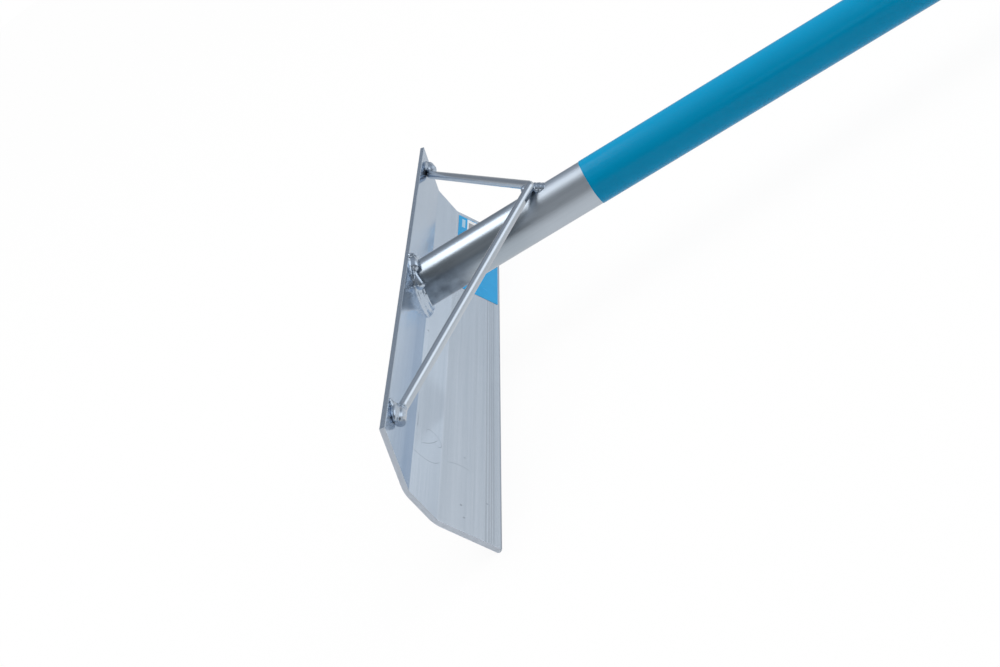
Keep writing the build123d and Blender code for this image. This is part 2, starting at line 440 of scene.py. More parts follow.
rod_corners = [
    across(foot_line, -FOOT_END_OFFSET),
    across(foot_line, -KNEE_OFFSET),
    Vector((BRACE_REACH, 0, BRACE_HEIGHT)),
    across(foot_line, KNEE_OFFSET),
    across(foot_line, FOOT_END_OFFSET),
]
rod_bends = [KNEE_RADIUS, BEND_RADIUS, KNEE_RADIUS]
print("the rod's legs are", round((rod_corners[2] - rod_corners[1]).length / MM, 1), "mm long")

# %% [markdown]
# At a corner between two runs, the bend's centre lies on the inner side of both, one radius away from the
# point where the bend starts. The axis is square to both runs.

# %% Draw the rod out and bend it
ROD_SIDES = 40
BEND_STEPS = 14
ROD_END_BREAK = 0.15 * MM

select_only()
bpy.ops.mesh.primitive_circle_add(
    vertices=ROD_SIDES,
    radius=ROD_RADIUS,
    fill_type="NGON",
    location=rod_corners[0],
    rotation=(RIGHT_ANGLE, 0, 0),
)
rod = new_piece("brace")
edit(rod)
pick("FACE", lambda face: True)
here = rod_corners[0]
for corner, after, radius in zip(rod_corners[1:], rod_corners[2:], rod_bends):
    run = (corner - here).normalized()
    next_run = (after - corner).normalized()
    turn = run.angle(next_run)
    setback = radius * math.tan(turn / 2)
    bend_start = corner - run * setback
    extrude(bend_start - here)
    axis = run.cross(next_run).normalized()
    bend_centre = bend_start + axis.cross(run) * radius
    bpy.ops.mesh.spin(steps=BEND_STEPS, angle=-turn, center=bend_centre, axis=axis)
    here = corner + next_run * setback
extrude(rod_corners[-1] - here)
bpy.ops.mesh.select_all(action="SELECT")
bpy.ops.mesh.remove_doubles(threshold=HAIR / 10)
bpy.ops.mesh.normals_make_consistent(inside=False)
print("the rod is bent at", len(rod_bends), "places")

# %% [markdown]
# The rod was not sawn. Bolt cutters crop it, and their two jaws leave a ridge across each end. Two
# bisections cut each end to that ridge, and a small bevel takes the burr off.

# %% Crop the rod's ends
CROP_LEAN = math.radians(20)
CROP_RISE = 0.9 * MM
up_the_flat = step(UPPER_ANGLE, -1)
for side in (-1, 1):
    ridge = across(foot_line + up_the_flat * CROP_RISE, side * FOOT_END_OFFSET)
    for lean in (-CROP_LEAN, CROP_LEAN):
        jaw = up_the_flat * math.sin(lean) + Vector((0, side * math.cos(lean), 0))
        pick("FACE", lambda face: True)
        bpy.ops.mesh.bisect(plane_co=ridge, plane_no=jaw, use_fill=True, clear_outer=True)
pick("EDGE", lambda edge: abs(middle(edge).y) > KNEE_OFFSET and edge.calc_face_angle(0) > CROP_LEAN)
bpy.ops.mesh.bevel(offset=ROD_END_BREAK, segments=2, affect="EDGES")
lay_down(rod, "brace_rod")

# %% [markdown]
# ## The welds
# A weld bead is a row of frozen puddles. Sculpting it would be the usual way, but puddles can be laid as
# the welder lays them: one ball is copied along the run and stretched into a puddle at each station, and a
# voxel Remesh melts them into one skin that a Smooth modifier calms down. The seed is fixed, so each run of
# the script lays the same bead.

# %% Helpers for laying puddles
PUDDLE_VOXEL = 0.3 * MM
WELD_ROOT = 0.3 * MM
SLAB_DEPTH = 30 * MM


def lay_puddles(name, stations, normal, calm=20):
    """Melts balls into one bead. A station is a place, the run's direction and radii along, across and up."""
    select_only()
    bpy.ops.mesh.primitive_uv_sphere_add(segments=24, ring_count=14, radius=MM)
    ball = bpy.context.object
    copies = []
    for place, run, radii in stations:
        puddle = ball.copy()
        puddle.data = ball.data.copy()
        bpy.context.collection.objects.link(puddle)
        sideways = normal.cross(run).normalized()
        axes = Matrix((sideways.cross(normal), sideways, normal)).transposed().to_4x4()
        puddle.matrix_world = Matrix.Translation(place) @ axes @ Matrix.Diagonal((*radii, 1))
        copies.append(puddle)
    bpy.data.objects.remove(ball)
    select_only(*copies)
    bpy.ops.object.transform_apply(location=True, rotation=True, scale=True)
    bpy.ops.object.join()
    bead = new_piece(name)
    modify(bead, "REMESH", mode="VOXEL", voxel_size=PUDDLE_VOXEL)
    modify(bead, "SMOOTH", factor=0.5, iterations=calm)
    return bead


def cut_off(bead, cutter):
    """Cuts the room that a cutter takes up out of a bead."""
    modify(bead, "BOOLEAN", operation="DIFFERENCE", object=cutter, solver="EXACT")
    bpy.data.objects.remove(cutter)


def trim_flat(bead):
    """Cuts a bead off just under the upper and the middle flat, with a slab behind each."""
    for angle in (UPPER_ANGLE, MIDDLE_ANGLE):
        behind_flat = upper_fold + step(angle - RIGHT_ANGLE, SLAB_DEPTH / 2 + WELD_ROOT)
        select_only()
        bpy.ops.mesh.primitive_cube_add(size=1, location=behind_flat, rotation=(0, -angle, 0))
        cut_off(bead, new_piece("slab", size=(4 * UPPER_FLAT, 2 * BLADE_LENGTH, SLAB_DEPTH)))


def trim_round(bead, start, end):
    """Cuts the inside of the tube out of a bead."""
    core = add_pipe("core", start, end, TUBE_RADIUS - WELD_ROOT)
    edit(core)
    bpy.ops.mesh.select_all(action="SELECT")
    bpy.ops.mesh.edge_face_add()
    select_only(core)
    cut_off(bead, core)


# %% [markdown]
# ### The runs round the tube
# Two runs hold the tube on the blade, one on each side. Each starts under the tube as a smooth fillet with
# an almost flat face and a thin ridge along its edge on the tube. Near the top the left-hand one swells
# into two thick lobes with a crease between them. The right-hand one has one lobe and was laid last, so its
# end spreads over the top of the tube in fine ripples.

# %% Find places beside the tube's seat
SEAT_TILT = UPPER_ANGLE + RIGHT_ANGLE
seat_centre = upper_fold - step(UPPER_ANGLE, TUBE_RADIUS / math.cos(SEAT_TILT))


def on_seat(degrees, side, off_tube, off_flat):
    """A point beside the tube on its seat, turned by some degrees from the top of the tube."""
    turn = math.radians(degrees)
    ring = TUBE_RADIUS + off_tube
    up = up_the_flat * (math.cos(turn) * ring / math.cos(SEAT_TILT))
    return seat_centre + up + Vector((0, side * math.sin(turn) * ring, 0)) + out_of_upper_flat * off_flat


def beside_tube(degrees, side, off_tube, off_flat, radii):
    """One station of a run. Its offsets and radii are in millimetres."""
    place = on_seat(degrees, side, off_tube * MM, off_flat * MM)
    run = on_seat(degrees - 2, side, off_tube * MM, off_flat * MM) - place
    return place, run, radii


print("the seat is tilted by", round(math.degrees(SEAT_TILT), 1), "degrees")

# %% Weld the tube to the blade
FILLET_TURNS = range(168, 9, -3)
RIDGE_TURNS = range(160, 92, -4)
RIPPLE_TURNS = range(44, -8, -9)
SWELL = (0.95, 1.08)
LOBE_STEP = 2


def tube_run(side, chance):
    """The fillet that both runs have: a root, a toe on the flat, a toe on the tube and a ridge."""
    stations = []
    for turn in FILLET_TURNS:
        swell = chance.uniform(*SWELL)
        stations.append(beside_tube(turn, side, 1.2, 0.9, (2.4, 3.3 * swell, 3.1 * swell)))
        stations.append(beside_tube(turn, side, 4.2, -0.5, (2.4, 2.9 * swell, 1.9)))
        stations.append(beside_tube(turn, side, -0.4, 3.2, (2.4, 1.7, 2.1)))
    stations += [beside_tube(turn, side, 0.6, 4.8, (2.0, 1.0, 1.0)) for turn in RIDGE_TURNS]
    return stations


def lobe(side, top, bottom, girth, top_share):
    """A lobe that thickens downwards to a round nose. Its ends are in degrees, its girth in millimetres."""
    stations = []
    for turn in range(top, bottom, LOBE_STEP):
        size = girth * (top_share + (1 - top_share) * (turn - top) / (bottom - top))
        stations.append(beside_tube(turn, side, 0.5 * size, 0.5 * size, (2.8, size, size)))
    return stations


LEFT_LOBES = lobe(-1, top=42, bottom=72, girth=5, top_share=0.4)
LEFT_LOBES += lobe(-1, top=2, bottom=32, girth=4, top_share=0.9)
RIGHT_LOBES = lobe(1, top=42, bottom=72, girth=4.8, top_share=0.4)
RIGHT_LOBES += [beside_tube(turn, 1, 2.4, 1.2, (1.4, 4.3, 3.5)) for turn in RIPPLE_TURNS]
chance = random.Random(5)
for side, hand, lobes in ((-1, "left", LEFT_LOBES), (1, "right", RIGHT_LOBES)):
    bead = lay_puddles(f"tube_weld_{hand}", tube_run(side, chance) + lobes, out_of_upper_flat, calm=40)
    trim_round(bead, -2 * TUBE_RADIUS, 4 * TUBE_RADIUS)
    trim_flat(bead)
    lay_down(bead, f"handle_weld_{hand}", smooth_angle=60, weighted=False)

# %% [markdown]
# ### The welds of the brace
# Each foot is held by a web of weld metal on the side of the blade's top edge, and by a tack at the knee.
# The left one ends in a small horn where the torch was pulled away, the right one flows up over the rod. At
# the bend, one puddle fills the inside of the V and a sloping one sits on the handle's side.

# %% Weld the brace's feet
FOOT_PUDDLES = {
    "left": (
        (211.0, 1.5, 0.6, (1.6, 3.1, 2.9)),
        (217.0, 1.4, 0.0, (8.5, 3.2, 3.1)),
        (218.5, 4.0, -1.8, (9.5, 3.9, 2.4)),
        (215.5, 6.8, -2.5, (4.5, 2.8, 1.2)),
        (215.0, 9.0, -2.7, (2.4, 1.6, 0.8)),
    ),
    "right": (
        (215.0, 1.4, 1.2, (6.5, 4.2, 3.9)),
        (220.0, 1.6, -0.4, (9.0, 4.6, 4.0)),
        (224.0, 2.0, -2.2, (8.0, 4.4, 2.6)),
        (216.0, 5.0, -2.2, (8.0, 2.8, 1.9)),
    ),
}
for side, hand in ((-1, "left"), (1, "right")):
    stations = []
    for reach, up, off_flat, radii in FOOT_PUDDLES[hand]:
        place = foot_line + up_the_flat * (up * MM) + out_of_upper_flat * (off_flat * MM)
        stations.append((across(place, side * reach * MM), along_the_blade, radii))
    bead = lay_puddles(f"foot_bead_{hand}", stations, out_of_upper_flat)
    trim_flat(bead)
    lay_down(bead, f"foot_weld_{hand}", smooth_angle=60, weighted=False)

# %% Weld the bend of the brace to the tube
BEND_PUDDLES = {
    "blade_side": (
        ((95.5, 0, 17.2), (5.5, 3.2, 4.0)),
        ((92.6, 0, 14.8), (6.0, 4.4, 2.0)),
    ),
    "handle_side": (
        ((101.6, 0, 15.4), (6.0, 2.8, 3.6)),
        ((103.4, 0, 14.4), (6.2, 3.4, 3.2)),
        ((105.0, 0, 13.4), (6.4, 3.8, 2.7)),
    ),
}
for where, puddles in BEND_PUDDLES.items():
    stations = [(Vector(place) * MM, along_the_blade, radii) for place, radii in puddles]
    bead = lay_puddles(f"bend_bead_{where}", stations, Vector((0, 0, 1)), calm=30)
    trim_round(bead, 2 * TUBE_RADIUS, SLEEVE_START)
    lay_down(bead, f"brace_weld_{where}", smooth_angle=60, weighted=False)

# %% [markdown]
# ## The sticker
# A thin film on the lower flat. A plane gets rounded corners from a vertex bevel and its thickness from one
# extrusion. Its print is plain: blue, with a white panel, a grey block on the panel and a pale bar.
# Bisections cut the outlines of these fields into the film, so that each can have its own ink.

# %% Stick the label on
LABEL_LENGTH = 154 * MM
LABEL_WIDTH = 33.6 * MM
LABEL_THICKNESS = 0.15 * MM
LABEL_CORNER = 1 * MM
LABEL_END_GAP = 7 * MM
label_centre = lower_fold + along_lower_flat * (LOWER_FLAT / 2)
label_middle = BLADE_LENGTH / 2 - LABEL_END_GAP - LABEL_LENGTH / 2

select_only()
bpy.ops.mesh.primitive_plane_add(
    size=1,
    location=across(label_centre, label_middle),
    rotation=(0, -LOWER_ANGLE, 0),
)
label = new_piece("sticker", size=(LABEL_WIDTH, LABEL_LENGTH, 1))
edit(label)
pick("VERT", lambda vertex: True)
bpy.ops.mesh.bevel(offset=LABEL_CORNER, segments=5, affect="VERTICES")
pick("FACE", lambda face: True)
extrude(out_of_lower_flat * LABEL_THICKNESS)
bpy.ops.mesh.select_all(action="SELECT")
bpy.ops.mesh.normals_make_consistent(inside=False)
print("the label's middle is", round(label_middle / MM, 1), "mm along the blade")

# %% Cut the fields of the print
WHITE_PANEL = (9.2 * MM, 33.6 * MM, 188 * MM, 241.6 * MM)
GREY_BLOCK = (10.4 * MM, 30 * MM, 206 * MM, 235 * MM)
PALE_BAR = (4.7 * MM, 7.4 * MM, 218 * MM, 236.5 * MM)
FIELDS = (WHITE_PANEL, GREY_BLOCK, PALE_BAR)


def from_fold(place):
    """How far a point of the lower flat lies from the lower fold."""
    return (place - lower_fold).dot(along_lower_flat)


def inside(face, field):
    """Whether a face of the print lies in a field, given by distances from the fold and along the blade."""
    place = middle(face)
    return field[0] < from_fold(place) < field[1] and field[2] < place.y < field[3]


for field in FIELDS:
    for down in field[:2]:
        pick("FACE", on_lower_flat)
        bpy.ops.mesh.bisect(plane_co=lower_fold + along_lower_flat * down, plane_no=along_lower_flat)
    for along in field[2:]:
        pick("FACE", on_lower_flat)
        bpy.ops.mesh.bisect(plane_co=(0, along, 0), plane_no=(0, 1, 0))
for field in FIELDS:
    found = own_slot(label, lambda face: on_lower_flat(face) and inside(face, field))
    print(found, "faces in a printed field")
lay_down(label, "blade_label")

# %% [markdown]
# ## Finishes
# Each finish is a node material on Object coordinates. A few helpers keep the node code short: `finish`
# starts a material, `node` adds one node and plugs in its inputs, and `vary` lets a pattern change the
# colour and the roughness.


# %% Helpers for node materials
def finish(name, piece, slot=0, **sockets):
    """A new material in one slot of a piece, with these values set on its shader."""
    material = bpy.data.materials.new(name)
    material.use_nodes = True
    shader = material.node_tree.nodes["Principled BSDF"]
    for socket, value in sockets.items():
        shader.inputs[socket.replace("_", " ")].default_value = value
    if not piece.data.materials:
        piece.data.materials.append(None)
    piece.data.materials[slot] = material
    print(f"{name} on {piece.name}")
    return material, shader


def node(material, kind, sockets, output=0, **settings):
    """Adds a node and gives one output. A socket's value is a number, or another node's output to link."""
    made = material.node_tree.nodes.new("ShaderNode" + kind)
    for setting, value in settings.items():
        setattr(made, setting, value)
    for socket, value in sockets.items():
        if isinstance(value, bpy.types.NodeSocket):
            material.node_tree.links.new(value, made.inputs[socket])
        else:
            made.inputs[socket].default_value = value
    return made.outputs[output]


def times(material, one, other):
    """One value times another."""
    return node(material, "Math", {0: one, 1: other}, operation="MULTIPLY")


def unsigned(material, value):
    """A value without its sign."""
    return node(material, "Math", {0: value}, operation="ABSOLUTE")


def part_along(material, place, direction):
    """How far a place lies in a direction."""
    return node(material, "VectorMath", {0: place, 1: direction}, output="Value", operation="DOT_PRODUCT")


def object_place(material):
    """The place of each point of the surface."""
    return node(material, "TexCoord", {}, output="Object")


def grain(material, scale, stretch=(1, 1, 1), detail=4, turn=0):
    """Noise that may be drawn out along an axis, after a turn about the blade's direction."""
    sockets = {"Vector": object_place(material), "Rotation": (0, turn, 0), "Scale": stretch}
    laid = node(material, "Mapping", sockets, vector_type="TEXTURE")
    return node(material, "TexNoise", {"Vector": laid, "Scale": scale, "Detail": detail})


def spread(material, value, low, high, start=0.3, end=0.7):
    """Maps one range to another. The range that is given by default is the middle of a noise."""
    sockets = {"Value": value, "From Min": start, "From Max": end, "To Min": low, "To Max": high}
    return node(material, "MapRange", sockets)


def tint(material, value, low, high):
    """A colour between two, by a value from 0 to 1. Each of the two is a colour or a node's output."""
    ends = [end if isinstance(end, bpy.types.NodeSocket) else (*end, 1) for end in (low, high)]
    sockets = {"Factor": value, "A": ends[0], "B": ends[1]}
    return node(material, "Mix", sockets, output="Result", data_type="RGBA")


def plug_in(material, shader, socket, output):
    """Links a node's output to the shader."""
    material.node_tree.links.new(output, shader.inputs[socket])


def vary(material, shader, pattern, colours, roughness):
    """Lets a pattern change the colour and the roughness, each between two ends."""
    plug_in(material, shader, "Base Color", tint(material, pattern, *colours))
    plug_in(material, shader, "Roughness", spread(material, pattern, *roughness))


def bump(material, shader, height, depth):
    """Bumps the surface by a height map."""
    bumped = node(material, "Bump", {"Height": height, "Distance": depth, "Strength": 1})
    plug_in(material, shader, "Normal", bumped)


def show(material, surface, output="Material Output"):
    """Links a mix of shaders to the output."""
    material.node_tree.links.new(surface, material.node_tree.nodes[output].inputs["Surface"])


# %% [markdown]
# ### Aluminium
# The blade is as it came from the extruder: almost a mirror, with a little haze. Lines run along its
# length, darkest near the lip, and it has a few scratches and specks, and a painted highlight along the
# lower fold. Its saw-cut ends are pale and dull. The tube is polished up to the brace, with a smudge of soot
# and painted shade by the weld, and brushed between the brace and the sleeve. The welds shine, apart from
# the one on the right foot. Each mark is a mask, worked out from its distance to a point, an arc or a line.

# %% Helpers for marks on the metal
SCRATCH_WIDTH = 0.25 * MM
SCRATCH_FADE = 0.7


def distance(material, point):
    """How far each point of the surface is from one point."""
    sockets = {0: object_place(material), 1: point}
    return node(material, "VectorMath", sockets, output="Value", operation="DISTANCE")


def scratch(material, *bench_points):
    """The mask of a scratch: an arc from one point of the bench through another to a third."""
    start, through, end = (LAID_DOWN @ point for point in bench_points)
    there, back = through - start, end - start
    normal = there.cross(back)
    to_centre = normal.cross(there) * back.length_squared + back.cross(normal) * there.length_squared
    centre = start + to_centre / (2 * normal.length_squared)
    radius = (centre - start).length
    off_arc = node(material, "Math", {0: distance(material, centre), 1: radius}, operation="SUBTRACT")
    line = spread(material, unsigned(material, off_arc), 1, 0, start=0, end=SCRATCH_WIDTH)
    reach = max((start - through).length, (end - through).length)
    near = spread(material, distance(material, through), 1, 0, start=SCRATCH_FADE * reach, end=reach)
    return times(material, line, near)


def speck(material, bench_point, radius):
    """The mask of a round speck."""
    away = distance(material, LAID_DOWN @ bench_point)
    return spread(material, away, 1, 0, start=radius / 2, end=radius)


def stripe(material, down, half_width):
    """The mask of a line along the blade, at some distance from the lower fold."""
    line = LAID_DOWN @ (lower_fold + along_lower_flat * down)
    off_line = node(material, "VectorMath", {0: object_place(material), 1: line}, operation="SUBTRACT")
    away = unsigned(material, part_along(material, off_line, turned @ along_lower_flat))
    return spread(material, away, 1, 0, start=half_width / 2, end=half_width)


def mark(material, colour, mask, share, other):
    """Mixes a share of another colour into one where a mask is 1."""
    return tint(material, times(material, mask, share), colour, other)


# %% Places of the marks on the blade
def on_upper_flat(down, along):
    """A point of the upper flat, in millimetres from the top edge and along the blade."""
    return across(top_edge + step(UPPER_ANGLE, down * MM), along * MM)


def on_middle_flat(down, along):
    """A point of the middle flat, in millimetres from the upper fold and along the blade."""
    return across(upper_fold + step(MIDDLE_ANGLE, down * MM), along * MM)


def below_fold(down, along):
    """A point of the lower flat, in millimetres from the lower fold and along the blade."""
    return across(lower_fold + step(LOWER_ANGLE, down * MM), along * MM)


SCRATCHES = (
    (on_middle_flat(0.9, -154.4), on_middle_flat(1.6, -164), on_middle_flat(1.3, -173)),
    (on_middle_flat(5.4, -186.3), on_middle_flat(13, -176), on_middle_flat(18.3, -163.9)),
    (on_middle_flat(0.7, -202), on_middle_flat(11, -199.3), on_middle_flat(21, -185.4)),
    (on_middle_flat(9.2, -165), on_middle_flat(19, -162), on_middle_flat(14, -173)),
    (below_fold(3.2, -182), below_fold(10.5, -179), below_fold(17.8, -181)),
)
SPECKS = (
    (below_fold(12.8, -223), 0.9 * MM),
    (below_fold(14.8, -235), 0.8 * MM),
    (below_fold(14, -167.5), 0.7 * MM),
    (below_fold(28.2, -209), 0.7 * MM),
    (on_upper_flat(30, -18), 1.0 * MM),
    (on_middle_flat(3, -33), 1.0 * MM),
    (on_upper_flat(12, 42), 0.9 * MM),
)
DARK_LINES = [(LOWER_FLAT - from_lip, 0.6 * MM, 0.2) for from_lip, _ in DIE_LINES]
DARK_LINES += [(LOWER_FLAT, 1.1 * MM, 0.5), (LOWER_FLAT, 16 * MM, 0.08), (19.7 * MM, 1.6 * MM, 0.05)]
print(len(SCRATCHES), "scratches,", len(SPECKS), "specks and", len(DARK_LINES), "dark lines")

# %% Extruded aluminium on the blade
ALONG_BLADE = (1, 120, 1)
EXTRUDED = ((0.64, 0.72, 0.82), (0.72, 0.80, 0.90))
# A dark colour for the lines, scratches and specks, and for the soot and painted shade on the tube.
DIRT_AND_SHADE = (0.15, 0.17, 0.2)
SCRATCH_SHARE = 0.8
SPECK_SHARE = 0.6
# A painted highlight along the lower fold: its colour, half width and share.
FOLD_HIGHLIGHT = (0.80, 0.88, 0.97)
FOLD_HIGHLIGHT_HALF_WIDTH = 0.7 * MM
FOLD_HIGHLIGHT_SHARE = 0.25
DIE_RELIEF = 0.002 * MM
material, shader = finish("extruded_aluminium", blade, Metallic=0.88, Specular_Tint=(0.70, 0.77, 0.85, 1))
lines = grain(material, 900, ALONG_BLADE)
bands = grain(material, 160, ALONG_BLADE, detail=2)
streaks = spread(material, times(material, lines, bands), 0, 1, start=0.12, end=0.40)
metal = tint(material, streaks, *EXTRUDED)
for down, half_width, share in DARK_LINES:
    metal = mark(material, metal, stripe(material, down, half_width), share, DIRT_AND_SHADE)
# Painted highlight: a lighter line along the lower fold, where the round of the fold catches the light.
metal = mark(material, metal, stripe(material, 0, FOLD_HIGHLIGHT_HALF_WIDTH), FOLD_HIGHLIGHT_SHARE, FOLD_HIGHLIGHT)
for arc in SCRATCHES:
    metal = mark(material, metal, scratch(material, *arc), SCRATCH_SHARE, DIRT_AND_SHADE)
for place, radius in SPECKS:
    metal = mark(material, metal, speck(material, place, radius), SPECK_SHARE, DIRT_AND_SHADE)
plug_in(material, shader, "Base Color", metal)
plug_in(material, shader, "Roughness", spread(material, bands, 0.12, 0.2))
bump(material, shader, lines, DIE_RELIEF)

# %% Saw-cut ends of the blade
SAWN = ((0.60, 0.67, 0.76), (0.71, 0.77, 0.87))
material, shader = finish("sawn_aluminium", blade, slot=1, Metallic=0.3)
vary(material, shader, grain(material, 1500, (1, 1, 8)), SAWN, roughness=(0.42, 0.58))

# %% Polished and brushed tube
ALONG_HANDLE = (150, 1, 1)
POLISHED = ((0.44, 0.505, 0.57), (0.485, 0.55, 0.615))
BRUSHED = ((0.52, 0.585, 0.655), (0.615, 0.675, 0.745))
BRUSHED_FROM = (76 * MM, 98 * MM)
# Soot and painted shade by the weld: where, how far and how strongly the tube is darkened.
SOOT_AND_SHADE_PLACE = Vector((16, -10, -16)) * MM
SOOT_AND_SHADE_REACH = (14 * MM, 34 * MM)
SOOT_AND_SHADE_SHARE = 0.85
material, shader = finish("drawn_tube", tube, Metallic=1.0)
lines = grain(material, 1200, ALONG_HANDLE, turn=SLOPE)
up_handle = node(material, "SeparateXYZ", {"Vector": object_place(material)}, output="X")
start, end = (blade_end.x + place for place in BRUSHED_FROM)
brushed = spread(material, up_handle, 0, 1, start=start, end=end)
metal = tint(material, brushed, tint(material, lines, *POLISHED), tint(material, lines, *BRUSHED))
# Soot and painted shade: the tube is darkened in mottled patches close to the weld, on its near underside.
start, end = SOOT_AND_SHADE_REACH
by_weld = spread(material, distance(material, LAID_DOWN @ SOOT_AND_SHADE_PLACE), 1, 0, start=start, end=end)
soot_and_shade = times(material, by_weld, spread(material, grain(material, 160), 0.4, 1))
plug_in(material, shader, "Base Color", mark(material, metal, soot_and_shade, SOOT_AND_SHADE_SHARE, DIRT_AND_SHADE))
plug_in(material, shader, "Roughness", spread(material, brushed, 0.29, 0.45, start=0, end=1))

# %% Drawn rod
DRAWN = ((0.57, 0.63, 0.70), (0.60, 0.66, 0.73))
material, shader = finish("drawn_rod", rod, Metallic=1.0)
vary(material, shader, grain(material, 90, detail=2), DRAWN, roughness=(0.22, 0.27))

# %% Weld metal
WELD_GREY = ((0.51, 0.60, 0.71), (0.58, 0.67, 0.78))
WELD_RIPPLE = 0.02 * MM
SHINY_WELD = (0.22, 0.32)
DULL_WELD = (0.38, 0.48)
for piece in [o for o in bpy.data.objects if o.name.startswith(("tube_weld", "foot_bead", "bend_bead"))]:
    material, shader = finish("weld_metal", piece, Metallic=1.0)
    patches = grain(material, 500)
    vary(material, shader, patches, WELD_GREY, DULL_WELD if piece.name == "foot_bead_right" else SHINY_WELD)
    bump(material, shader, patches, WELD_RIPPLE)

# %% [markdown]
# ### Plastics and print
# The sleeve is a saturated blue with little shine, so its specular level is low and hardly any white mixes
# into the blue. The label's inks are the same in kind. The plug is black and grained by its mould.

# %% Blue sleeve and black plug
SLEEVE_BLUE = ((0.0, 0.255, 0.48), (0.0, 0.285, 0.525))
PLUG_BLACK = ((0.02, 0.02, 0.022), (0.035, 0.035, 0.038))
material, shader = finish("blue_sleeve", sleeve, Specular_IOR_Level=0.1)
vary(material, shader, grain(material, 60, (8, 1, 1), turn=SLOPE), SLEEVE_BLUE, roughness=(0.16, 0.2))
material, shader = finish("moulded_plug", plug)
vary(material, shader, grain(material, 900), PLUG_BLACK, roughness=(0.5, 0.65))

# %% Inks of the label
INKS = (
    ("blue_ink", (0.005, 0.34, 0.70), (0.01, 0.38, 0.77)),
    ("white_ink", (0.78, 0.81, 0.85), (0.84, 0.87, 0.90)),
    ("grey_ink", (0.30, 0.32, 0.35), (0.36, 0.38, 0.41)),
    ("pale_ink", (0.36, 0.60, 0.78), (0.42, 0.65, 0.82)),
)
for slot, (name, *colours) in enumerate(INKS):
    material, shader = finish(name, label, slot=slot, Specular_IOR_Level=0.05)
    vary(material, shader, grain(material, 120), colours, roughness=(0.2, 0.28))

# %% [markdown]
# ## Studio
# Metal is only as good as what it mirrors, so the studio is built for the metal: white paper below, a white
# card beside the handle, a strip lamp above and a room of pale and dark walls.
#
# ### The paper
# The camera sees the paper as plain white with a faint shadow. The metal sees it a little darker, more so
# behind the rake, and as dark cloth on the camera's side.

# %% Floor
PAPER_SIZE = 400
PAPER_WHITE = (0.8, 0.8, 0.8, 1)
MIRRORED_PAPER = (0.8, 0.8, 0.8)
MIRRORED_BACK = (0.69, 0.69, 0.69)
MIRRORED_CLOTH = (0.1, 0.1, 0.1)
CLOTH_EDGE = (-0.95, -0.03)
BACK_EDGE = (0.4 * BLADE_LENGTH, 0.7 * BLADE_LENGTH)
GLOW_SHARE = 0.94

select_only()
bpy.ops.mesh.primitive_plane_add(size=PAPER_SIZE)
floor = bpy.context.object
floor.name = "floor"
material, shader = finish("white_paper", floor, Base_Color=PAPER_WHITE, Roughness=1, Specular_IOR_Level=0)
ahead = node(material, "SeparateXYZ", {"Vector": object_place(material)}, output="Y")
paper = spread(material, ahead, 0, 1, start=CLOTH_EDGE[0], end=CLOTH_EDGE[1])
behind_rake = spread(material, ahead, 0, 1, start=BACK_EDGE[0], end=BACK_EDGE[1])
in_metal = node(material, "LightPath", {}, output="Is Glossy Ray")
mirrored = tint(material, paper, MIRRORED_CLOTH, tint(material, behind_rake, MIRRORED_PAPER, MIRRORED_BACK))
glow = node(material, "Emission", {"Color": tint(material, in_metal, (1, 1, 1), mirrored)})
seen = node(material, "LightPath", {}, output="Is Camera Ray")
share = node(material, "Math", {0: seen, 1: GLOW_SHARE, 2: in_metal}, operation="MULTIPLY_ADD")
show(material, node(material, "MixShader", {0: share, 1: shader.outputs[0], 2: glow}))

# %% [markdown]
# ### The card
# A photographer holds a white card just outside the picture to brighten a dark side. This one stands close
# beside the handle. Only the metal sees it, and only from its front.

# %% Card beside the handle
WALL_PALE = (0.68, 0.68, 0.68)
CARD_LENGTH = 670 * MM
CARD_HEIGHT = 86 * MM
CARD_CENTRE = Vector((365, -20, -25)) * MM
select_only()
bpy.ops.mesh.primitive_plane_add(size=1, location=CARD_CENTRE, rotation=(RIGHT_ANGLE, 0, 0))
card = new_piece("white_card", size=(CARD_LENGTH, CARD_HEIGHT, 1))
card.matrix_world = LAID_DOWN
card.visible_camera = False
card.visible_diffuse = False
card.visible_shadow = False
material, shader = finish("card", card)
back = node(material, "NewGeometry", {}, output="Backfacing")
front = node(material, "Emission", {"Color": (*WALL_PALE, 1)})
show(material, node(material, "MixShader", {0: back, 1: front, 2: node(material, "BsdfTransparent", {})}))

# %% [markdown]
# ### The lamp
# A long strip lamp hangs above, square to the handle. Its mirror image is the bright line along the tube,
# and the line fades on the sleeve where the strip ends.

# %% Strip lamp
LAMP_DIRECTION = Vector((-0.15, 0.05, 0.98)).normalized()
LAMP_DISTANCE = 3
LAMP_SIZE = (0.9, 2.2)
LAMP_RADIANCE = 2.9
select_only()
bpy.ops.object.light_add(type="AREA")
lamp = bpy.context.object
lamp.name = "strip_lamp"
lamp_length = LAMP_DIRECTION.cross((1, 0, 0)).normalized()
lamp_axes = Matrix((lamp_length.cross(LAMP_DIRECTION), lamp_length, LAMP_DIRECTION)).transposed().to_4x4()
lamp.matrix_world = Matrix.Translation(blade_end + LAMP_DIRECTION * LAMP_DISTANCE) @ lamp_axes
lamp.data.shape = "RECTANGLE"
lamp.data.size, lamp.data.size_y = LAMP_SIZE
lamp_area = LAMP_SIZE[0] * LAMP_SIZE[1]
lamp.data.energy = LAMP_RADIANCE * math.pi * lamp_area
print("irradiance of the lamp at the blade:", round(LAMP_RADIANCE * lamp_area / LAMP_DISTANCE**2, 2))

# %% [markdown]
# ### The room
# The world stands for the walls. Its sides are dim and get lighter upwards, with a pale wall low behind the
# rake that has a dim gap in it. A bright panel stands to the right, and a small one towards the camera.
# Paint takes its light from a plain overhead glow and the right-hand side. The camera sees white.

